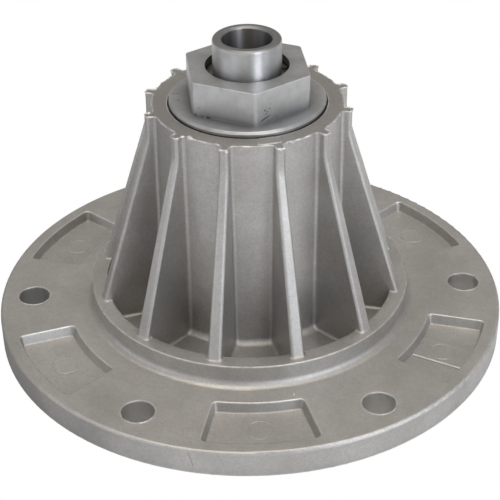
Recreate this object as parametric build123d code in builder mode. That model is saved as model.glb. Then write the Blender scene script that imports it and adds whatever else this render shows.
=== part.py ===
from build123d import *
from math import cos, radians, sin, tan
import os

# Mower deck spindle, millimetres. The origin is the centre of the flange's underside and +Z runs up the
# spindle axis. A pocket of the flange faces -Y, and two ribs stand 15 degrees either side of that line.

os.makedirs("parts", exist_ok=True)

# Flange of the housing
flange_d = 203.2
flange_t = 10.5
flange_edge_radius = 1.0
bolt_count = 6
bolt_edge_distance = 13.3
bolt_hole_d = 12.7
pocket_rim = 5.3
pocket_ring_gap = 10.0
pocket_half_angle = 13.1
pocket_depth = 4.0
pocket_draft = 15.0
pocket_corner_radius = 2.0

# Raised ring and the floor inside it
ring_outer_r = 63.8
ring_wall = 5.9
ring_height = 8.7
ring_root_radius = 2.8

# Hub
hub_top = 97.0
hub_top_r = 36.2
hub_base_r = 37.2
hub_base_radius = 3.0

# Ribs, which taper in width and lean in towards the hub
rib_count = 12
rib_base_width = 5.4
rib_top_width = 3.3
rib_foot_setback = 2.8
rib_tip_r = 39.9
rib_tip_height = 9.6
rib_shoulder_radius = 15.0
rib_edge_bevel = 0.7
rib_root_radius = 1.4
rib_foot_radius = 0.8
rib_bury = 1.0

# Shaft tube
shaft_d = 26.0
shaft_bore_d = 18.8
shaft_above_hex = 10.8
shaft_end_recess = 1.2
shaft_tip_radius = 1.2
shaft_bore_chamfer = 0.75

# Hexagon and the two discs that cover the seals
hex_across_flats = 43.9
hex_bar_d = 50.0
hex_height = 13.1
hex_turn = 4.3
collar_counterbore_d = 31.8
hex_counterbore_depth = 4.6
lower_counterbore_depth = 3.4
disc_d = 59.7
disc_t = 4.4
disc_bevel = 0.8
disc_proud = 2.0
disc_recess = 0.8
disc_side_gap = 0.55
disc_under_gap = 0.6
journal_d = 33.0

# Retaining rings
retainer_t = 1.3
retainer_outer_d = 31.0
retainer_mouth = 7.0
groove_depth = 0.75
groove_play = 0.1

# Seals
seal_d = 52.4
seal_t = 7.0
seal_setback = 0.2
seal_case_t = 1.2
seal_window_r = 20.5
lip_wrap = 1.0
lip_body = 2.8
lip_neck = 1.3
lip_edge_depth = 4.6
lip_end_depth = 6.2
lip_gap = 0.06
dust_lip_gap = 0.25

# Tapered roller bearings, measured from the back face of the cup
cup_d = 50.292
cup_width = 10.7
bearing_width = 14.2
cone_width = 14.7
roller_count = 16
roller_length = 9.6
roller_pitch_r = 18.9
roller_tilt = 12.0
roller_half_taper = 1.75
roller_middle = 6.6
race_gap = 0.04
cone_back_rib_r = 19.4
cone_front_rib_r = 16.4
roller_end_play = 0.1
cage_t = 0.8
cage_offset = 0.8
cage_back_reach = 1.4
cage_front_reach = 2.2
cage_flange = 1.2
cage_window_gap = 0.2
seal_to_cone = 0.8

# Inside of the hub
hub_bore_d = 44.0
spacer_d = 32.0
spacer_bore_play = 0.25
shim_t = 0.8
shim_d = 31.0

# Heights and radii that follow from the sizes above
bolt_circle_d = flange_d - 2 * bolt_edge_distance
pocket_inner_r = ring_outer_r + pocket_ring_gap
pocket_outer_r = flange_d / 2 - pocket_rim
ring_top = flange_t + ring_height
ring_inner_r = ring_outer_r - ring_wall
rib_foot_r = ring_outer_r - rib_foot_setback
shaft_r = shaft_d / 2
journal_r = journal_d / 2
disc_top = hub_top + disc_proud
disc_under = disc_top - disc_t
top_floor = disc_under - disc_under_gap
hex_top = disc_top + hex_height
shaft_top = hex_top + shaft_above_hex
lower_disc_top = disc_recess + disc_t
bottom_floor = lower_disc_top + disc_under_gap
disc_bore_r = disc_d / 2 + disc_side_gap
seal_depth = seal_setback + seal_t
cup_seat_depth = seal_depth + seal_to_cone + bearing_width
top_seat = top_floor - cup_seat_depth
bottom_seat = bottom_floor + cup_seat_depth
top_cone_back = top_seat + bearing_width
bottom_cone_back = bottom_seat - bearing_width
upper_ledge = hex_top - hex_counterbore_depth
lower_ledge = disc_recess + lower_counterbore_depth
groove_w = retainer_t + groove_play
rib_bottom = flange_t - rib_bury
rib_root_r = disc_bore_r + rib_bury

# Housing: flange, raised ring, hub and ribs are one casting


def rib_edge_r(height):
    """Radius of a rib's sloping outer edge at a height above the flange's underside."""
    lean = (rib_foot_r - rib_tip_r) / (hub_top - rib_tip_height - ring_top)
    return rib_foot_r - lean * (height - ring_top)


with BuildPart() as rib:
    # Side view of the rib, pulled out to both sides
    with BuildSketch(Plane.XZ) as side_view:
        with BuildLine():
            Polyline(
                (rib_root_r, hub_top),
                (rib_tip_r, hub_top),
                (rib_tip_r, hub_top - rib_tip_height),
                (rib_edge_r(rib_bottom), rib_bottom),
                (rib_root_r, rib_bottom),
                close=True,
            )
        make_face()
        shoulder = side_view.vertices().sort_by_distance((rib_tip_r, hub_top - rib_tip_height))[0]
        fillet(shoulder, rib_shoulder_radius)
    extrude(amount=rib_base_width, both=True)
    # Front view: the wedge that leaves the die upwards
    with BuildSketch(Plane.YZ):
        with BuildLine():
            Polyline(
                (-rib_base_width / 2, rib_bottom),
                (rib_base_width / 2, rib_bottom),
                (rib_top_width / 2, hub_top),
                (-rib_top_width / 2, hub_top),
                close=True,
            )
        make_face()
    extrude(amount=ring_outer_r, mode=Mode.INTERSECT)
    # Bevel along both sides of the outer face, whose edges are the furthest from the hub
    between_ends = rib.edges().filter_by_position(Axis.Z, rib_bottom, hub_top, inclusive=(False, False))
    chamfer(between_ends.filter_by(Axis.Y, reverse=True).sort_by(Axis.X)[2:], rib_edge_bevel)

with BuildPart() as housing:
    # Flange, ring, floor and hub in one turned profile
    with BuildSketch(Plane.XZ) as section:
        with BuildLine():
            Polyline(
                (0, 0),
                (flange_d / 2, 0),
                (flange_d / 2, flange_t),
                (ring_outer_r, flange_t),
                (ring_outer_r, ring_top),
                (ring_inner_r, ring_top),
                (ring_inner_r, flange_t),
                (hub_base_r, flange_t),
                (hub_top_r, hub_top),
                (0, hub_top),
                close=True,
            )
        make_face()
        fillet(section.vertices().sort_by_distance((ring_outer_r, flange_t))[0], ring_root_radius)
        fillet(section.vertices().sort_by_distance((hub_base_r, flange_t))[0], hub_base_radius)
        fillet(section.vertices().sort_by_distance((flange_d / 2, flange_t))[0], flange_edge_radius)
    revolve(axis=Axis.Z)
    with PolarLocations(0, rib_count, start_angle=180 / rib_count):
        add(rib.part)
    # Edges where the ribs join the rest, from the lowest up: floor, hub's base, ring's inner corners,
    # ring's top and hub's side. Only the inner corners stay sharp
    floor_joins, base_joins, corner_joins, foot_joins, side_joins = housing.edges(Select.NEW).group_by(Axis.Z)
    fillet(foot_joins, rib_foot_radius)
    fillet(floor_joins + base_joins + side_joins, rib_root_radius)
    # Pockets between the bolt holes
    for index in range(bolt_count):
        middle = 360 / bolt_count * (index + 0.5)
        with BuildSketch(Plane.XY.offset(flange_t)) as pocket:
            with BuildLine():
                inner = CenterArc((0, 0), pocket_inner_r, middle - pocket_half_angle, 2 * pocket_half_angle)
                outer = CenterArc((0, 0), pocket_outer_r, middle - pocket_half_angle, 2 * pocket_half_angle)
                Line(inner @ 0, outer @ 0)
                Line(inner @ 1, outer @ 1)
            make_face()
            fillet(pocket.vertices(), pocket_corner_radius)
        extrude(amount=-pocket_depth, taper=pocket_draft, mode=Mode.SUBTRACT)
    # Bolt holes
    with BuildSketch():
        with PolarLocations(bolt_circle_d / 2, bolt_count):
            Circle(bolt_hole_d / 2)
    extrude(amount=flange_t, mode=Mode.SUBTRACT)
    # Stepped bore: disc counterbore, seal seat and cup seat at each end, and the plain bore between
    with BuildSketch(Plane.XZ):
        with BuildLine():
            Polyline(
                (0, 0),
                (disc_bore_r, 0),
                (disc_bore_r, bottom_floor),
                (seal_d / 2, bottom_floor),
                (seal_d / 2, bottom_floor + seal_depth),
                (cup_d / 2, bottom_floor + seal_depth),
                (cup_d / 2, bottom_seat),
                (hub_bore_d / 2, bottom_seat),
                (hub_bore_d / 2, top_seat),
                (cup_d / 2, top_seat),
                (cup_d / 2, top_floor - seal_depth),
                (seal_d / 2, top_floor - seal_depth),
                (seal_d / 2, top_floor),
                (disc_bore_r, top_floor),
                (disc_bore_r, hub_top),
                (0, hub_top),
                close=True,
            )
        make_face()
    revolve(axis=Axis.Z, mode=Mode.SUBTRACT)
housing.part.label = "housing"
export_step(housing.part, "parts/housing.step")

# Shaft: a turned tube with a groove near each end for its retaining ring

with BuildPart() as hollow_shaft:
    with BuildSketch(Plane.XZ) as section:
        with BuildLine():
            Polyline(
                (shaft_bore_d / 2, shaft_end_recess),
                (shaft_r, shaft_end_recess),
                (shaft_r, lower_ledge - groove_w),
                (shaft_r - groove_depth, lower_ledge - groove_w),
                (shaft_r - groove_depth, lower_ledge),
                (shaft_r, lower_ledge),
                (shaft_r, upper_ledge),
                (shaft_r - groove_depth, upper_ledge),
                (shaft_r - groove_depth, upper_ledge + groove_w),
                (shaft_r, upper_ledge + groove_w),
                (shaft_r, shaft_top),
                (shaft_bore_d / 2, shaft_top),
                close=True,
            )
        make_face()
        fillet(section.vertices().sort_by_distance((shaft_r, shaft_top))[0], shaft_tip_radius)
        chamfer(section.vertices().sort_by_distance((shaft_bore_d / 2, shaft_top))[0], shaft_bore_chamfer)
        chamfer(section.vertices().sort_by_distance((shaft_bore_d / 2, 0))[0], shaft_bore_chamfer)
    revolve(axis=Axis.Z)
hollow_shaft.part.label = "hollow_shaft"
export_step(hollow_shaft.part, "parts/hollow_shaft.step")

# Hexagon with its disc and journal: one turned piece on the shaft, whose journal runs in the upper seal

with BuildPart() as hex_collar:
    # The flats are milled on a round bar, whose skin is left as a narrow land on each corner
    with BuildSketch(Plane.XY.offset(disc_top)):
        RegularPolygon(hex_across_flats / 2, 6, major_radius=False, rotation=hex_turn + 30)
        Circle(hex_bar_d / 2, mode=Mode.INTERSECT)
    extrude(amount=hex_height)
    with BuildSketch(Plane.XZ) as section:
        with BuildLine():
            Polyline(
                (0, disc_top),
                (disc_d / 2, disc_top),
                (disc_d / 2, disc_under),
                (journal_r, disc_under),
                (journal_r, top_cone_back),
                (0, top_cone_back),
                close=True,
            )
        make_face()
        chamfer(section.vertices().sort_by_distance((disc_d / 2, disc_top))[0], disc_bevel)
    revolve(axis=Axis.Z)
    with BuildSketch(Plane.XZ):
        with BuildLine():
            Polyline(
                (0, top_cone_back),
                (shaft_r, top_cone_back),
                (shaft_r, upper_ledge),
                (collar_counterbore_d / 2, upper_ledge),
                (collar_counterbore_d / 2, hex_top),
                (0, hex_top),
                close=True,
            )
        make_face()
    revolve(axis=Axis.Z, mode=Mode.SUBTRACT)
hex_collar.part.label = "hex_collar"
export_step(hex_collar.part, "parts/hex_collar.step")

# Lower collar: the same disc and journal, and the face that the blade is clamped to

with BuildPart() as lower_collar:
    with BuildSketch(Plane.XZ) as section:
        with BuildLine():
            Polyline(
                (collar_counterbore_d / 2, disc_recess),
                (disc_d / 2, disc_recess),
                (disc_d / 2, lower_disc_top),
                (journal_r, lower_disc_top),
                (journal_r, bottom_cone_back),
                (shaft_r, bottom_cone_back),
                (shaft_r, lower_ledge),
                (collar_counterbore_d / 2, lower_ledge),
                close=True,
            )
        make_face()
        chamfer(section.vertices().sort_by_distance((disc_d / 2, disc_recess))[0], disc_bevel)
    revolve(axis=Axis.Z)
lower_collar.part.label = "lower_collar"
export_step(lower_collar.part, "parts/lower_collar.step")

# Retaining rings: open rings of flat steel that seat in the shaft's grooves and against the collars' ledges


def make_retainer(label, height):
    """An open ring on a plane at the given height, with its mouth towards +X."""
    with BuildPart() as ring:
        with BuildSketch(Plane.XY.offset(height)):
            Circle(retainer_outer_d / 2)
            Circle(shaft_r - groove_depth + groove_play, mode=Mode.SUBTRACT)
            with Locations((shaft_r, 0)):
                Rectangle(shaft_r, retainer_mouth, mode=Mode.SUBTRACT)
        extrude(amount=retainer_t)
    ring.part.label = label
    export_step(ring.part, f"parts/{label}.step")


make_retainer("upper_retaining_ring", upper_ledge)
make_retainer("lower_retaining_ring", lower_ledge - retainer_t)

# Spacer between the two cones, and the shim that sets the play of the bearings

top_cone_front = top_cone_back - cone_width
bottom_cone_front = bottom_cone_back + cone_width


def make_sleeve(label, outer_d, low, high):
    """A plain sleeve round the shaft between two heights."""
    with BuildPart() as sleeve:
        with BuildSketch(Plane.XY.offset(low)):
            Circle(outer_d / 2)
            Circle(shaft_r + spacer_bore_play, mode=Mode.SUBTRACT)
        extrude(amount=high - low)
    sleeve.part.label = label
    export_step(sleeve.part, f"parts/{label}.step")


make_sleeve("bearing_spacer", spacer_d, bottom_cone_front, top_cone_front - shim_t)
make_sleeve("preload_shim", shim_d, top_cone_front - shim_t, top_cone_front)

# Tapered roller bearings. Cup, cone and roller axes all meet at one apex on the spindle axis, so the
# rollers roll without slip. A point is given by its distance from the apex along a roller's axis and its
# offset square to that axis, outwards

tilt = radians(roller_tilt)
half_taper = radians(roller_half_taper)
apex_to_middle = roller_pitch_r / sin(tilt)
apex_height = roller_middle - apex_to_middle * cos(tilt)
roller_start = apex_to_middle - roller_length / 2
roller_end = apex_to_middle + roller_length / 2


def on_roller(along, out):
    """Radius and height above the cup's back face of a point in the roller's own directions."""
    radius = along * sin(tilt) + out * cos(tilt)
    height = apex_height + along * cos(tilt) - out * sin(tilt)
    return radius, height


def roller_radius(along):
    """Radius of the roller at a distance from the apex."""
    return along * tan(half_taper)


def cup_race_r(height):
    """Radius of the cup's raceway at a height above its back face."""
    return (height - apex_height) * tan(tilt + half_taper) + race_gap


def cone_race(along):
    """Point of the cone's raceway square below a point of the roller's axis."""
    return on_roller(along, -roller_radius(along) - race_gap)


def cone_rib(along, rib_r):
    """Point where the rib's face, square to the roller's axis, meets the rib's outer radius."""
    return on_roller(along, (rib_r - along * sin(tilt)) / cos(tilt))


def roller_profile(play):
    """Half section of a roller, grown by the given play."""
    start = roller_start - play
    end = roller_end + play
    return [
        on_roller(start, 0),
        on_roller(start, roller_radius(start) + play),
        on_roller(end, roller_radius(end) + play),
        on_roller(end, 0),
    ]


def cup_profile():
    return [
        (cup_race_r(0), 0),
        (cup_d / 2, 0),
        (cup_d / 2, cup_width),
        (cup_race_r(cup_width), cup_width),
    ]


def cone_profile():
    front = bearing_width - cone_width
    start = roller_start - roller_end_play
    end = roller_end + roller_end_play
    return [
        (shaft_r, front),
        (cone_front_rib_r, front),
        cone_rib(start, cone_front_rib_r),
        cone_race(start),
        cone_race(end),
        cone_rib(end, cone_back_rib_r),
        (cone_back_rib_r, bearing_width),
        (shaft_r, bearing_width),
    ]


def cage_profile():
    front = roller_start - cage_front_reach
    back = roller_end + cage_back_reach
    return [
        on_roller(front, cage_offset + cage_t),
        on_roller(back, cage_offset + cage_t),
        on_roller(back, cage_offset),
        on_roller(front + cage_t, cage_offset),
        on_roller(front + cage_t, cage_offset - cage_flange),
        on_roller(front, cage_offset - cage_flange),
    ]


def half_section(points):
    """A face on the XZ plane, to be turned round the spindle axis or a roller's axis."""
    with BuildSketch(Plane.XZ) as section:
        with BuildLine():
            Polyline(*points, close=True)
        make_face()
    return section.sketch


def make_bearing(side, seat, out):
    """The four pieces of one bearing, whose cup has its back face at seat and opens towards out."""

    def place(points):
        return [(radius, seat + out * height) for radius, height in points]

    axis_start, axis_end = place([on_roller(roller_start, 0), on_roller(roller_end, 0)])
    roller_axis = Axis(
        (axis_start[0], 0, axis_start[1]),
        (axis_end[0] - axis_start[0], 0, axis_end[1] - axis_start[1]),
    )

    with BuildPart() as cup:
        revolve(half_section(place(cup_profile())), axis=Axis.Z)
    cup.part.label = f"{side}_bearing_cup"

    with BuildPart() as cone:
        revolve(half_section(place(cone_profile())), axis=Axis.Z)
    cone.part.label = f"{side}_bearing_cone"

    with BuildPart() as roller:
        revolve(half_section(place(roller_profile(0))), axis=roller_axis)
    with BuildPart() as rollers:
        with PolarLocations(0, roller_count):
            add(roller.part)
    rollers.part.label = f"{side}_bearing_rollers"

    with BuildPart() as window:
        revolve(half_section(place(roller_profile(cage_window_gap))), axis=roller_axis)
    with BuildPart() as cage:
        revolve(half_section(place(cage_profile())), axis=Axis.Z)
        with PolarLocations(0, roller_count):
            add(window.part, mode=Mode.SUBTRACT)
    cage.part.label = f"{side}_bearing_cage"

    for piece in (cup, cone, rollers, cage):
        export_step(piece.part, f"parts/{piece.part.label}.step")


make_bearing("upper", top_seat, 1)
make_bearing("lower", bottom_seat, -1)

# Grease seals: a pressed steel case in the housing, with a moulded rubber lip that rides on the journal


def make_seal(side, floor, out):
    """Case and lip of one seal, below a counterbore floor that looks towards out."""
    face = floor - out * seal_setback
    case_inner_r = seal_d / 2 - seal_case_t
    lip_back_r = journal_r + lip_body
    case_points = [
        (seal_d / 2, 0),
        (seal_d / 2, seal_t),
        (case_inner_r, seal_t),
        (case_inner_r, seal_case_t),
        (seal_window_r, seal_case_t),
        (seal_window_r, 0),
    ]
    lip_points = [
        (seal_window_r, 0),
        (seal_window_r, seal_case_t),
        (seal_window_r + lip_wrap, seal_case_t),
        (seal_window_r + lip_wrap, seal_case_t + lip_wrap),
        (lip_back_r - lip_wrap / 2, seal_case_t + lip_neck),
        (lip_back_r, lip_end_depth - lip_wrap / 2),
        (lip_back_r - lip_neck, lip_end_depth),
        (journal_r + lip_gap, lip_edge_depth),
        (lip_back_r - lip_neck - lip_wrap / 2, seal_case_t + lip_neck),
        (journal_r + dust_lip_gap, lip_wrap / 2),
        (journal_r + lip_wrap, 0),
    ]
    for label, points in ((f"{side}_seal_case", case_points), (f"{side}_seal_lip", lip_points)):
        with BuildPart() as piece:
            revolve(half_section([(radius, face - out * depth) for radius, depth in points]), axis=Axis.Z)
        piece.part.label = label
        export_step(piece.part, f"parts/{label}.step")


make_seal("upper", top_floor, 1)
make_seal("lower", bottom_floor, -1)
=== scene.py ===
from math import atan2, ceil, copysign, cos, pi, radians, sin, sqrt

import bmesh
import bpy
from mathutils import Matrix, Vector, noise


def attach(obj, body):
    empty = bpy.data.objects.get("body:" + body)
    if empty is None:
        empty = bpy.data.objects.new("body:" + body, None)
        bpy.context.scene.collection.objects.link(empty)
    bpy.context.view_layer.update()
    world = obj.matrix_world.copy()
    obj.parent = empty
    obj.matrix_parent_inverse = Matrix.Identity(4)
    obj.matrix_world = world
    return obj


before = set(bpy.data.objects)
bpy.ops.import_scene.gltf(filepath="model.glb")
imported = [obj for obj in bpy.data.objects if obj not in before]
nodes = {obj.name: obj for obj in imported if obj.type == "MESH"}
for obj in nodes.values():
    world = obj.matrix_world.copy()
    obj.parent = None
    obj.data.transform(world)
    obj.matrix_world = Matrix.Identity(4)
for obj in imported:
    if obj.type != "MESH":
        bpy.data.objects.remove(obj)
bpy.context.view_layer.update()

# Housing: one aluminium die casting, flange, ring, ribs and hub together, lightly blasted, then bored and
# drilled. The skin is warm grey and satin, paler where edges have been rubbed and lighter again there as a
# painted highlight, darker with painted shade in corners and on the hub's top, lighter with painted light on
# the bolt holes' walls, and has a hairline mark on the flange's side.


def linear(code):
    """Linear colour with alpha from an sRGB hex code."""
    shares = [int(code[i : i + 2], 16) / 255 for i in (1, 3, 5)]
    return [s / 12.92 if s <= 0.04045 else ((s + 0.055) / 1.055) ** 2.4 for s in shares] + [1.0]


def node(tree, kind, inputs=None, **properties):
    """Adds a shader node, with its properties set and its inputs, by name or number, set or linked.

    A Map Range reads input 0 over the span from 1 to 2 and gives 3 to 4, or 0 to 1 where those are unset. A
    colour Mix goes from 6 to 7 by its share, 0.
    """
    made = tree.nodes.new("ShaderNode" + kind)
    for name, value in properties.items():
        setattr(made, name, value)
    for name, value in (inputs or {}).items():
        if isinstance(value, bpy.types.NodeSocket):
            tree.links.new(value, made.inputs[name])
        else:
            made.inputs[name].default_value = value
    return made


def new_material(name):
    """An empty node material and its tree."""
    made = bpy.data.materials.new(name)
    made.use_nodes = True
    made.node_tree.nodes.clear()
    return made, made.node_tree


def lumps(tree, place, size_mm, detail=2.0, stretch=(1, 1, 1)):
    """Noise whose lumps measure size_mm, stretched along the axes, as a value round a half."""
    scale = [1000 / size_mm / s for s in stretch]
    spread = node(tree, "VectorMath", {0: place, 1: scale}, operation="MULTIPLY")
    return node(tree, "TexNoise", {"Vector": spread.outputs[0], "Scale": 1.0, "Detail": detail}).outputs[0]


def patches(tree, place, size_mm, detail, low, high, least=0.0, most=1.0):
    """Patches that measure size_mm, from least where the noise is below low to most above high."""
    noise_value = lumps(tree, place, size_mm, detail)
    return node(tree, "MapRange", {0: noise_value, 1: low, 2: high, 3: least, 4: most}).outputs[0]


def layered(tree, colour, *layers):
    """The colour with others laid over it in turn, each by its share."""
    for share, over in layers:
        colour = node(tree, "Mix", {0: share, 6: colour, 7: over}, data_type="RGBA").outputs[2]
    return colour


def relief(tree, edge_radius, *heights):
    """Normal that rounds the edges and then follows heights of 0 to 1, each times its depth in mm."""
    normal = node(tree, "Bevel", {"Radius": edge_radius}, samples=6).outputs[0]
    for height, depth_mm in heights:
        inputs = {"Height": height, "Distance": depth_mm / 1000, "Normal": normal}
        normal = node(tree, "Bump", inputs).outputs[0]
    return normal


def round_axis(tree, place):
    """A place with its height taken away, how far it is from the spindle axis, and its height."""
    flat_place = node(tree, "VectorMath", {0: place, 1: (1, 1, 0)}, operation="MULTIPLY").outputs[0]
    radius = node(tree, "VectorMath", {0: flat_place}, operation="LENGTH").outputs["Value"]
    return flat_place, radius, node(tree, "SeparateXYZ", {0: place}).outputs[2]


def outer_edge(tree, reach_mm, most=1.0):
    """How near a point is to an outward edge, 0 to most, from how thin the piece is just there."""
    reach = {"Distance": reach_mm / 1000}
    inside = node(tree, "AmbientOcclusion", reach, samples=8, inside=True, only_local=True).outputs["AO"]
    return node(tree, "MapRange", {0: inside, 1: 0.92, 2: 0.62, 4: most}).outputs[0]


def shut_in(tree, reach_mm, shut, free, most):
    """How shut in a point is, 0 to most, as the open share of what is round it falls from free to shut."""
    open_share = node(tree, "AmbientOcclusion", {"Distance": reach_mm / 1000}, samples=6).outputs["AO"]
    return node(tree, "MapRange", {0: open_share, 1: free, 2: shut, 4: most}).outputs[0]


def marked(tree, place, marks, most=1.0):
    """Round marks, most in the middle and 0 outside, from their places and radii in mm."""
    strength = 0.0
    for spot_mm, radius_mm in marks:
        spot = [c / 1000 for c in spot_mm]
        reach = radius_mm / 1000
        away = node(tree, "VectorMath", {0: place, 1: spot}, operation="DISTANCE").outputs["Value"]
        mark = node(tree, "MapRange", {0: away, 1: 0.4 * reach, 2: reach, 3: most, 4: 0.0}).outputs[0]
        strength = node(tree, "Math", {0: strength, 1: mark}, operation="MAXIMUM").outputs[0]
    return strength


def dress(names, material):
    """Gives pieces of the frame their material."""
    for name in names:
        nodes[name].data.materials.clear()
        nodes[name].data.materials.append(material)


hub_top_z = 0.097
counterbore_r = 0.0304
hole_count = 6
hole_circle_r = 0.0883
hole_r = 0.00635
hole_turns = [2 * pi / hole_count * k for k in range(hole_count)]
hole_middles = [Vector((hole_circle_r * cos(turn), hole_circle_r * sin(turn), 0)) for turn in hole_turns]
hole_light_reach_mm = 7.5
hole_light_marks = [(middle * 1000, hole_light_reach_mm) for middle in hole_middles]
crack_top_mm = Vector((-26.1, -98.2, 8.6))
crack_foot_mm = Vector((-24.5, -98.6, 3.5))
crack_half_width_mm = 0.34
crack_steps = 9
crack_marks = []
for k in range(crack_steps + 1):
    crack_marks.append((crack_top_mm.lerp(crack_foot_mm, k / crack_steps), crack_half_width_mm))

cast_pale = linear("#D3D1CE")
cast_dark = linear("#C2C0BD")
cast_warm = linear("#BDB4AB")
cast_wear_and_highlight = linear("#EEEDEB")
cast_mottle_and_shade = linear("#8F8B87")
pore_dark = linear("#5F5B56")

cast_skin, tree = new_material("aluminium_die_cast_blasted")
place = node(tree, "TexCoord").outputs["Object"]
flat_place, radius, height = round_axis(tree, place)
# Outer edges are paler, partly from rubbed wear and partly as a painted highlight, in ragged stretches
edge_raggedness = patches(tree, place, 3, 3, 0.3, 0.55, least=0.4)
rubbed_and_highlit_edge = node(tree, "Math", {0: outer_edge(tree, 0.8), 1: edge_raggedness}, operation="MULTIPLY").outputs[0]
hub_top_shade = node(tree, "MapRange", {0: height, 1: hub_top_z - 0.0008, 2: hub_top_z - 0.0002, 4: 0.4}).outputs[0]
# At a bolt hole's wall its round mark has a quarter of its strength, so the painted light starts there
in_hole = marked(tree, flat_place, hole_light_marks)
hole_wall_light = node(tree, "MapRange", {0: in_hole, 1: 0.22, 2: 0.25, 4: 0.35}).outputs[0]
skin = layered(
    tree,
    cast_pale,
    (patches(tree, place, 24, 4, 0.36, 0.64), cast_dark),
    # Painted shade: the hub's top, shaded by the hexagon and disc standing on it, is darkened
    (hub_top_shade, cast_mottle_and_shade),
    (patches(tree, place, 10, 3, 0.5, 0.75, most=0.3), cast_warm),
    (patches(tree, place, 2.2, 3, 0.35, 0.7, most=0.14), cast_mottle_and_shade),
    (patches(tree, place, 0.7, 2, 0.3, 0.7, most=0.3), cast_mottle_and_shade),
    # Painted shade: points shut in by ribs, hub and ring are darkened by how little open air is round them
    (shut_in(tree, 14, 0.1, 0.5, most=0.35), cast_mottle_and_shade),
    (rubbed_and_highlit_edge, cast_wear_and_highlight),
    # Painted light: the bolt holes' walls are lightened as if lit from below
    (hole_wall_light, cast_wear_and_highlight),
    (patches(tree, place, 1.0, 1, 0.77, 0.82, most=0.5), pore_dark),
    (marked(tree, place, crack_marks, most=0.6), pore_dark),
)
# The bored counterbore keeps a nearly sharp edge of 0.2 mm, and every edge outside it is a soft 0.9 mm
edge_span = {1: counterbore_r + 0.0005, 2: counterbore_r + 0.0009, 3: 0.0002, 4: 0.0009}
edge_radius = node(tree, "MapRange", {0: radius, **edge_span}).outputs[0]
# The blasted grain is drawn 0.6 mm wide, coarser than the real one, so that it shows
grain = lumps(tree, place, 0.6, 3)
sag = lumps(tree, place, 5, 2)
metal = node(
    tree,
    "BsdfPrincipled",
    {
        "Base Color": skin,
        "Metallic": 1.0,
        "Roughness": node(tree, "MapRange", {0: rubbed_and_highlit_edge, 3: 0.49, 4: 0.4}).outputs[0],
        "Normal": relief(tree, edge_radius, (grain, 0.06), (sag, 0.08)),
    },
)
node(tree, "OutputMaterial", {"Surface": metal.outputs[0]})

dress(["housing"], cast_skin)

# Flash: where the die's halves met, a thin ragged bead of metal stays on the ring's top edge, round the top
# of the hub and its ribs and round the bolt holes. It is trimmed but not dressed, so it catches the light as
# a broken line, with torn lumps at the tips of some ribs and a speck on the flange.

ring_edge_r = 0.0638
ring_edge_z = 0.0192
hub_rim_r = 0.0362
rib_count = 12
rib_half_width = 0.00165
rib_tip = 0.0399
rib_bevel = 0.0007
rib_root = 0.0014
rib_root_middle = (0.45, 0.89)
flange_top = 0.0105
ring_bead = 0.00042
hub_bead = 0.0006
hole_bead = 0.0003
bead_step = 0.00045
bead_sides = 7
lump_flatness = 0.6
lump_places_mm = (
    ((-24.6, -27.4, 97.0), 0.75),
    ((-22.5, -28.1, 97.1), 0.95),
    ((-21.6, -28.8, 97.0), 0.7),
    ((-11.5, -38.1, 96.9), 0.6),
    ((-9.1, -38.7, 96.7), 0.85),
    ((9.8, -38.5, 96.8), 0.8),
    ((11.4, -37.9, 96.9), 0.65),
    ((14.2, -33.6, 97.0), 0.6),
    ((13.4, -69.4, 10.5), 0.6),
)


def walk(corners):
    """Points at most a bead_step apart along a line through the corners, short of the last one."""
    path = []
    for start, end in zip(corners, corners[1:]):
        steps = max(1, ceil((end - start).length / bead_step))
        path += [start.lerp(end, step / steps) for step in range(steps)]
    return path


def round_line(radius, height, start=0.0, sweep=2 * pi):
    """Points at most a bead_step apart along an arc round the spindle axis, short of its end."""
    steps = max(2, ceil(sweep * radius / bead_step))
    turns = [start + sweep * step / steps for step in range(steps)]
    return [Vector((radius * cos(turn), radius * sin(turn), height)) for turn in turns]


def bridge(mesh, ring, following):
    """Adds the band of faces between two closed rings of points."""
    for k in range(len(ring)):
        beside = (k + 1) % len(ring)
        mesh.faces.new((ring[k], ring[beside], following[beside], following[k]))


def add_bead(mesh, path, thick, ragged, lump_mm=1.6):
    """Adds a closed bead of metal along the path, whose thickness wanders by the ragged share."""
    section = [2 * pi * k / bead_sides for k in range(bead_sides)]
    rings = []
    for index, spot in enumerate(path):
        ahead = (path[(index + 1) % len(path)] - path[index - 1]).normalized()
        aside = ahead.cross(Vector((0, 0, 1))).normalized()
        upward = aside.cross(ahead)
        swell = noise.noise(spot * (1000 / lump_mm)) + 0.5 * noise.noise(spot * (3100 / lump_mm))
        half = thick / 2 * max(0.12, 1 + ragged * swell)
        drift = aside * (0.4 * thick * ragged * noise.noise(spot * (700 / lump_mm) + Vector((9, 4, 2))))
        ring = [spot + drift + aside * (half * cos(turn)) + upward * (half * sin(turn)) for turn in section]
        rings.append([mesh.verts.new(point) for point in ring])
    for ring, following in zip(rings, rings[1:] + rings[:1]):
        bridge(mesh, ring, following)


def add_piece(name, mesh, material, body):
    """Makes the mesh a smooth piece with its material and body."""
    bmesh.ops.recalc_face_normals(mesh, faces=mesh.faces)
    data = bpy.data.meshes.new(name)
    mesh.to_mesh(data)
    mesh.free()
    for face in data.polygons:
        face.use_smooth = True
    data.materials.append(material)
    piece = bpy.data.objects.new(name, data)
    bpy.context.scene.collection.objects.link(piece)
    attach(piece, body)
    return piece


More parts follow.
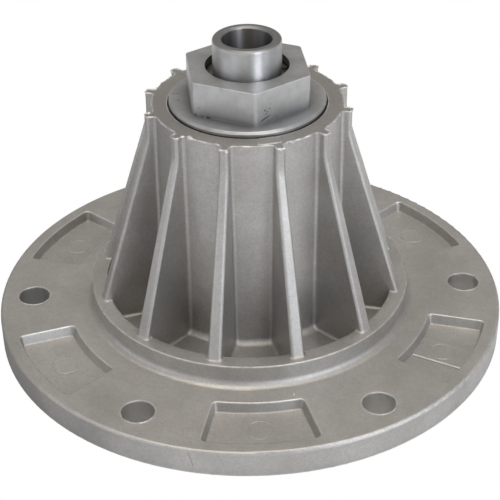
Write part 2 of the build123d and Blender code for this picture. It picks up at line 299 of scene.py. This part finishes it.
# The line round the hub's top takes in each rib's root fillet, whose arc's middle is given in its own radius,
# and the rib's side and bevelled tip
hub_rim = []
for k in range(rib_count):
    middle = pi / rib_count * (2 * k + 1)
    blend_y = rib_half_width + rib_root
    blend_x = sqrt((hub_rim_r + rib_root) ** 2 - blend_y**2)
    on_hub = Vector((blend_x, blend_y)) * (hub_rim_r / (hub_rim_r + rib_root))
    half_outline = [
        on_hub,
        Vector((blend_x - rib_root_middle[0] * rib_root, blend_y - rib_root_middle[1] * rib_root)),
        Vector((blend_x, rib_half_width)),
        Vector((rib_tip - rib_bevel, rib_half_width)),
        Vector((rib_tip, rib_half_width - rib_bevel)),
    ]
    outline = [Vector((spot.x, -spot.y)) for spot in half_outline] + half_outline[::-1]
    spin = Matrix.Rotation(middle, 2)
    corners = [Vector((*(spin @ spot), hub_top_z)) for spot in outline]
    hub_rim += walk(corners)
    last = atan2(on_hub.y, on_hub.x)
    hub_rim += round_line(hub_rim_r, hub_top_z, middle + last, 2 * pi / rib_count - 2 * last)

mesh = bmesh.new()
add_bead(mesh, round_line(ring_edge_r, ring_edge_z), ring_bead, ragged=0.7)
add_bead(mesh, hub_rim, hub_bead, ragged=0.95, lump_mm=2.2)
for middle in hole_middles:
    hole_edge = [middle + spot for spot in round_line(hole_r, flange_top)]
    add_bead(mesh, hole_edge, hole_bead, ragged=0.9, lump_mm=1.4)
for spot, radius_mm in lump_places_mm:
    middle = Vector(spot) / 1000
    there = Matrix.Translation(middle)
    lump = bmesh.ops.create_icosphere(mesh, subdivisions=3, radius=radius_mm / 1000, matrix=there)
    for vertex in lump["verts"]:
        away = vertex.co - middle
        torn = 1 + 0.9 * noise.noise(vertex.co * 1100) + 0.4 * noise.noise(vertex.co * 3000)
        vertex.co = middle + Vector((away.x, away.y, away.z * lump_flatness)) * torn
add_piece("casting_flash", mesh, cast_skin, "housing_body")

# Gate mark: the metal ran into the die over one rib's root, and where the runner was broken off the hub's top
# keeps a low rough patch, a third of a millimetre proud, that reaches from the disc's seat to the hub's rim.

gate_turn = radians(-78.8)
gate_r = 0.0331
gate_half_length = 0.0027
gate_half_width = 0.0051
gate_thick = 0.00034
gate_sunk = 0.002
gate_loops = 12
gate_points = 90

mesh = bmesh.new()
spin = Matrix.Rotation(gate_turn, 2)
gate_middle = spin @ Vector((gate_r, 0))
loops = []
for loop in range(gate_loops):
    share = 1 - loop / gate_loops
    ring = []
    for k in range(gate_points):
        turn = 2 * pi * k / gate_points
        outward = gate_half_length * copysign(sqrt(abs(cos(turn))), cos(turn))
        sideways = gate_half_width * copysign(sqrt(abs(sin(turn))), sin(turn))
        wander = 1 + 0.1 * noise.noise(Vector((3 * cos(turn), 3 * sin(turn), 5)))
        flat = gate_middle + spin @ (Vector((outward, sideways)) * share * wander)
        rough = noise.noise(Vector((*flat, 0)) * 900) + 0.6 * noise.noise(Vector((*flat, 1)) * 2400)
        lift = -gate_sunk if loop == 0 else gate_thick * (0.85 + 0.3 * rough)
        ring.append(mesh.verts.new((*flat, hub_top_z + lift)))
    loops.append(ring)
for ring, following in zip(loops, loops[1:]):
    bridge(mesh, ring, following)
mesh.faces.new(loops[-1])
mesh.faces.new(loops[0][::-1])
add_piece("gate_mark", mesh, cast_skin, "housing_body")

# Ejector marks: each pocket's floor has the round witness of the pin that pushed the casting out, a hair-thin
# raised ring. The pocket at the right also has a plain raised pad across it, wall to wall, under its ring.

pocket_count = 6
pocket_floor = 0.0065
pin_circle_r = 0.0845
pin_r = 0.0048
pin_bead = 0.00028
pad_index = 1
pad_half_width = 0.00705
pad_reach = (0.0746, 0.0955)
pad_thick = 0.0006
pad_sunk = 0.002
pad_bevel = 0.0003
pocket_turns = [2 * pi / pocket_count * k - pi / 2 for k in range(pocket_count)]

mesh = bmesh.new()
for k, turn in enumerate(pocket_turns):
    lift = pad_thick if k == pad_index else 0.0
    centre = Vector((pin_circle_r * cos(turn), pin_circle_r * sin(turn), lift))
    pin_mark = [centre + spot for spot in round_line(pin_r, pocket_floor)]
    add_bead(mesh, pin_mark, pin_bead, ragged=0.5, lump_mm=3.0)
add_piece("ejector_marks", mesh, cast_skin, "housing_body")

mesh = bmesh.new()
low, high = pad_reach
outline = [(low, -pad_half_width), (high, -pad_half_width), (high, pad_half_width), (low, pad_half_width)]
spin = Matrix.Rotation(pocket_turns[pad_index], 2)
loops = []
for inset, lift in ((0.0, -pad_sunk), (0.0, pad_thick - pad_bevel), (pad_bevel, pad_thick)):
    ring = []
    for x, y in outline:
        flat = spin @ Vector((x, y - copysign(inset, y)))
        ring.append(mesh.verts.new((*flat, pocket_floor + lift)))
    loops.append(ring)
for ring, following in zip(loops, loops[1:]):
    bridge(mesh, ring, following)
mesh.faces.new(loops[-1])
mesh.faces.new(loops[0][::-1])
pad = add_piece("pocket_pad", mesh, cast_skin, "housing_body")
for face in pad.data.polygons:
    face.use_smooth = False

# Hexagon, lower collar and spacer: bar steel turned and milled, left bare with a film of oil. Turning leaves
# rings on the disc and the ends, drawn 0.35 mm apart so that they show, and the milled flats are matt with
# faint streaks. Handling has left a few pits and one nick on the flats. Corners, such as the disc at the
# hexagon's foot, are darkened with painted shade, and the outer edges are lightened as a painted highlight.

turned_pale = linear("#D3D3D3")
turned_dark = linear("#C3C3C3")
turned_smudge_and_shade = linear("#747473")
steel_edge_highlight = linear("#F0F1F2")
pit_dark = linear("#3A3835")
pits_mm = (
    ((-18.4, -15.5, 102.3), 0.32),
    ((-10.4, -19.3, 111.6), 0.3),
    ((-19.8, -14.8, 99.2), 0.45),
    ((-17.4, -16.0, 99.1), 0.35),
    ((-15.4, -17.0, 99.1), 0.5),
    ((-14.7, -17.3, 99.1), 0.4),
    ((4.0, -23.8, 100.5), 0.3),
    ((4.5, -23.5, 100.65), 0.42),
    ((5.0, -23.15, 100.8), 0.45),
    ((5.5, -22.85, 100.95), 0.45),
    ((6.0, -22.5, 101.1), 0.42),
    ((6.5, -22.15, 101.3), 0.36),
    ((7.2, -21.7, 101.6), 0.28),
    ((5.4, -22.9, 104.3), 0.4),
    ((6.2, -22.4, 103.6), 0.35),
    ((5.9, -22.6, 102.7), 0.3),
    ((7.2, -21.7, 104.6), 0.32),
    ((7.4, -21.5, 106.2), 0.28),
    ((-28.6, 3.1, 99.0), 0.35),
    ((-27.7, 3.3, 99.0), 0.42),
    ((-26.8, 3.45, 99.0), 0.42),
    ((-25.9, 3.6, 99.0), 0.35),
    ((-26.1, -2.2, 99.0), 0.45),
)

turned_steel, tree = new_material("steel_turned_and_milled")
place = node(tree, "TexCoord").outputs["Object"]
radius, height = round_axis(tree, place)[1:]
ring_place = node(tree, "CombineXYZ", {0: radius, 1: height}).outputs[0]
rings = lumps(tree, ring_place, 0.35, 2, (1, 4, 1))
streak = lumps(tree, place, 0.5, 3, (1, 1, 9))
pitted = marked(tree, place, pits_mm)
unpitted = node(tree, "Math", {0: 1.0, 1: pitted}, operation="SUBTRACT").outputs[0]
pit_share = node(tree, "Math", {0: pitted, 1: 0.85}, operation="MULTIPLY").outputs[0]
skin = layered(
    tree,
    turned_pale,
    (patches(tree, place, 9, 4, 0.35, 0.65), turned_dark),
    (patches(tree, place, 3, 4, 0.5, 0.75, most=0.15), turned_smudge_and_shade),
    # Painted shade: corners are darkened by how little open air is round them
    (shut_in(tree, 9, 0.45, 0.9, most=0.85), turned_smudge_and_shade),
    # Painted highlight: outer edges are lightened
    (outer_edge(tree, 0.35, most=0.8), steel_edge_highlight),
    (pit_share, pit_dark),
)
metal = node(
    tree,
    "BsdfPrincipled",
    {
        "Base Color": skin,
        "Metallic": 1.0,
        "Roughness": node(tree, "MapRange", {0: streak, 1: 0.3, 2: 0.7, 3: 0.33, 4: 0.45}).outputs[0],
        "Normal": relief(tree, 0.0003, (rings, 0.012), (streak, 0.012), (unpitted, 0.25)),
    },
)
node(tree, "OutputMaterial", {"Surface": metal.outputs[0]})

dress(["hex_collar", "lower_collar", "bearing_spacer"], turned_steel)

# Hollow shaft: drawn tube, ground outside and reamed inside. The grinding lines run round it, drawn 0.16 mm
# apart so that they show, and spread its highlights up and down as bands. The turned end is matt, with a
# painted highlight on its edge, and the bore is darkened with painted shade.

shaft_top_z = 0.1229
shaft_bore_r = 0.0094
ground_bright = linear("#D3D3D3")
ground_dull = linear("#BFBFBF")
turned_face = linear("#979797")
bore_shade_colour = linear("#9A9999")

ground_steel, tree = new_material("steel_tube_ground")
place = node(tree, "TexCoord").outputs["Object"]
radius, height = round_axis(tree, place)[1:]
lines = lumps(tree, place, 0.16, 2, (12, 12, 1))
turned_end = node(tree, "MapRange", {0: height, 1: shaft_top_z - 0.0007, 2: shaft_top_z - 0.0003}).outputs[0]
bore_shade = node(tree, "MapRange", {0: radius, 1: shaft_bore_r + 0.0004, 2: shaft_bore_r + 0.0001}).outputs[0]
skin = layered(
    tree,
    ground_bright,
    (patches(tree, place, 6, 4, 0.4, 0.65), ground_dull),
    # Painted shade: the bore is darkened
    (bore_shade, bore_shade_colour),
    (turned_end, turned_face),
    # Painted highlight: the tube's outer edges are lightened
    (outer_edge(tree, 0.5, most=0.8), steel_edge_highlight),
)
metal = node(
    tree,
    "BsdfPrincipled",
    {
        "Base Color": skin,
        "Metallic": 1.0,
        "Roughness": node(tree, "MapRange", {0: turned_end, 3: 0.36, 4: 0.45}).outputs[0],
        "Anisotropic": node(tree, "MapRange", {0: turned_end, 3: 1.0, 4: 0.0}).outputs[0],
        "Anisotropic Rotation": 0.25,
        "Tangent": node(tree, "Tangent", direction_type="RADIAL", axis="Z").outputs[0],
        "Normal": relief(tree, 0.0003, (lines, 0.003)),
    },
)
node(tree, "OutputMaterial", {"Surface": metal.outputs[0]})

dress(["hollow_shaft"], ground_steel)

# Retaining rings and shim: blanked from spring steel strip, hardened, and left with the dark grey scale of
# the heat treatment, satin and a little patchy.

scale_pale = linear("#8C8B89")
scale_dark = linear("#6E6D6C")

spring_steel, tree = new_material("spring_steel_blued")
place = node(tree, "TexCoord").outputs["Object"]
scale_share = patches(tree, place, 3, 4, 0.35, 0.65)
metal = node(
    tree,
    "BsdfPrincipled",
    {
        "Base Color": layered(tree, scale_pale, (scale_share, scale_dark)),
        "Metallic": 1.0,
        "Roughness": 0.38,
        "Normal": relief(tree, 0.00015),
    },
)
node(tree, "OutputMaterial", {"Surface": metal.outputs[0]})

dress(["upper_retaining_ring", "lower_retaining_ring", "preload_shim"], spring_steel)

# Bearings: cups, cones and rollers are chrome steel, hardened and ground to a nearly mirror-like finish, the
# grinding drawn 0.2 mm wide so that it shows. The cages are pressed from steel strip, so they are duller and
# show the strip's rolled skin.

race_bright = linear("#CDCCCA")
strip_grey = linear("#A6A49F")

bearing_steel, tree = new_material("bearing_steel_ground")
place = node(tree, "TexCoord").outputs["Object"]
metal = node(
    tree,
    "BsdfPrincipled",
    {
        "Base Color": race_bright,
        "Metallic": 1.0,
        "Roughness": patches(tree, place, 0.2, 2, 0.3, 0.7, least=0.1, most=0.18),
        "Normal": relief(tree, 0.0003),
    },
)
node(tree, "OutputMaterial", {"Surface": metal.outputs[0]})

pressed_steel, tree = new_material("steel_strip_pressed")
place = node(tree, "TexCoord").outputs["Object"]
metal = node(
    tree,
    "BsdfPrincipled",
    {
        "Base Color": strip_grey,
        "Metallic": 1.0,
        "Roughness": patches(tree, place, 0.8, 3, 0.3, 0.7, least=0.3, most=0.42),
        "Normal": relief(tree, 0.0002, (lumps(tree, place, 0.8, 3), 0.01)),
    },
)
node(tree, "OutputMaterial", {"Surface": metal.outputs[0]})

for end in ("upper", "lower"):
    dress([f"{end}_bearing_cup", f"{end}_bearing_cone", f"{end}_bearing_rollers"], bearing_steel)
    dress([f"{end}_bearing_cage"], pressed_steel)

# Seals: each case is pressed from the same strip and sits tight in the housing. The lip is black nitrile
# rubber moulded on to it, satin and slightly dusty.

rubber_black = linear("#1C1C1D")
rubber_dusty = linear("#3A3936")

rubber, tree = new_material("nitrile_rubber_moulded")
place = node(tree, "TexCoord").outputs["Object"]
dust = patches(tree, place, 2.5, 4, 0.4, 0.7, most=0.5)
soft = node(
    tree,
    "BsdfPrincipled",
    {
        "Base Color": layered(tree, rubber_black, (dust, rubber_dusty)),
        "Roughness": 0.55,
        "IOR": 1.52,
        "Normal": node(tree, "Bump", {"Height": lumps(tree, place, 0.4, 2), "Distance": 0.00001}).outputs[0],
    },
)
node(tree, "OutputMaterial", {"Surface": soft.outputs[0]})

for end in ("upper", "lower"):
    dress([f"{end}_seal_case"], pressed_steel)
    dress([f"{end}_seal_lip"], rubber)

# Stage: a white table that reaches out of the picture, shown plain white, as in a cut-out product picture.
# It has two soft painted shadows on the part's left, each with its middle, reach, end of its fade and least
# light, that shade the sides which mirror them.

table_half = 3.0
table_drop = 0.0002
table_pale = linear("#E9ECF0")
table_shadow = linear("#75777A")
painted_shadow_spots = (((-0.1, -0.07, 0), 0.03, 0.085, 0.5), ((-0.17, 0.05, 0), 0.06, 0.16, 0.0))
bpy.ops.mesh.primitive_plane_add(size=2 * table_half, location=(0, 0, -table_drop))
table = bpy.context.object
table.name = "table"
white, tree = new_material("table_white")
seen = node(tree, "LightPath").outputs["Is Camera Ray"]
plain = node(tree, "Emission", {"Color": (1, 1, 1, 1), "Strength": 1.0})
place = node(tree, "TexCoord").outputs["Object"]
lit = 1.0
for spot, near, far, least in painted_shadow_spots:
    away = node(tree, "VectorMath", {0: place, 1: spot}, operation="DISTANCE").outputs["Value"]
    share = node(tree, "MapRange", {0: away, 1: near, 2: far, 3: least}).outputs[0]
    lit = node(tree, "Math", {0: lit, 1: share}, operation="MULTIPLY").outputs[0]
matt = node(tree, "BsdfDiffuse", {"Color": layered(tree, table_shadow, (lit, table_pale))})
shown = node(tree, "MixShader", {0: seen, 1: matt.outputs[0], 2: plain.outputs[0]})
node(tree, "OutputMaterial", {"Surface": shown.outputs[0]})
table.data.materials.append(white)

# Light: a grey room with soft boxes round the table, a broad one at the camera's right with a narrow bright
# strip in it, a lower one at its left, a weak one low round the right side and one over the part. Each has
# its middle's azimuth and half width, its lowest and highest elevation and its edges' fade, in degrees.

room_colour = linear("#A09F9D")
soft_boxes = (
    ((42, 27), (-6, 48), 8, "#E9F2FF", 0.8),
    ((34, 9), (-6, 52), 5, "#F2F7FF", 2.4),
    ((-62, 31), (-6, 34), 10, "#F2F6FF", 0.74),
    ((52, 68), (-6, 26), 14, "#E4EFFF", 0.25),
    ((0, 180), (68, 100), 10, "#FFF7EC", 2.35),
)

world = bpy.data.worlds.new("room")
bpy.context.scene.world = world
world.use_nodes = True
tree = world.node_tree
tree.nodes.clear()
sight = node(tree, "TexCoord").outputs["Generated"]
flat_sight = node(tree, "VectorMath", {0: sight, 1: (1, 1, 0)}, operation="MULTIPLY").outputs[0]
level = node(tree, "VectorMath", {0: flat_sight}, operation="NORMALIZE").outputs[0]
height = node(tree, "SeparateXYZ", {0: sight}).outputs[2]
light = node(tree, "RGB").outputs[0]
light.default_value = room_colour

for (azimuth, half_width), (lowest, highest), fade, colour, strength in soft_boxes:
    towards = (sin(radians(azimuth)), -cos(radians(azimuth)), 0)
    near = node(tree, "VectorMath", {0: level, 1: towards}, operation="DOT_PRODUCT").outputs["Value"]
    edges = [(height, sin(radians(lowest - fade)), sin(radians(lowest + fade)))]
    if half_width < 180:
        edges.append((near, cos(radians(half_width + fade)), cos(radians(half_width - fade))))
    if highest < 90:
        edges.append((height, sin(radians(highest + fade)), sin(radians(highest - fade))))
    share = 1.0
    for value, low, high in edges:
        inputs = {0: value, 1: low, 2: high}
        edge = node(tree, "MapRange", inputs, interpolation_type="SMOOTHSTEP").outputs[0]
        share = node(tree, "Math", {0: share, 1: edge}, operation="MULTIPLY").outputs[0]
    share = node(tree, "Math", {0: share, 1: strength}, operation="MULTIPLY").outputs[0]
    glow = node(tree, "VectorMath", {0: linear(colour)[:3], "Scale": share}, operation="SCALE").outputs[0]
    light = node(tree, "VectorMath", {0: light, 1: glow}, operation="ADD").outputs[0]
seen = node(tree, "LightPath").outputs["Is Camera Ray"]
room = node(tree, "Background", {"Color": light, "Strength": 1.0})
plain = node(tree, "Background", {"Color": (1, 1, 1, 1), "Strength": 1.0})
both = node(tree, "MixShader", {0: seen, 1: room.outputs[0], 2: plain.outputs[0]})
node(tree, "OutputWorld", {"Surface": both.outputs[0]})

# Camera: looks down by 33 degrees through a long lens, from a little to the left of the pocket that faces
# -Y, and leans a little.

camera_lens = 99.77
camera_sensor = 36.0
camera_height = radians(33.085)
camera_turn = radians(-2.112)
camera_roll = radians(-0.662)
camera_distance = 0.5604
aim_across = 0.00027
aim_height = 0.02952

level_reach = cos(camera_height)
forward = Vector((-sin(camera_turn) * level_reach, cos(camera_turn) * level_reach, -sin(camera_height)))
right = Vector((cos(camera_turn), sin(camera_turn), 0))
up = right.cross(forward)
aim = right * aim_across + Vector((0, 0, aim_height))
rolled_right = right * cos(camera_roll) + up * sin(camera_roll)
rolled_up = up * cos(camera_roll) - right * sin(camera_roll)
turned = Matrix((rolled_right, rolled_up, -forward)).transposed().to_4x4()

lens = bpy.data.cameras.new("camera")
lens.lens = camera_lens
lens.sensor_width = camera_sensor
camera = bpy.data.objects.new("camera", lens)
camera.matrix_world = Matrix.Translation(aim - forward * camera_distance) @ turned
bpy.context.scene.collection.objects.link(camera)
bpy.context.scene.camera = camera

scene = bpy.context.scene
scene.render.resolution_x = 500
scene.render.resolution_y = 500
scene.view_settings.view_transform = "Standard"
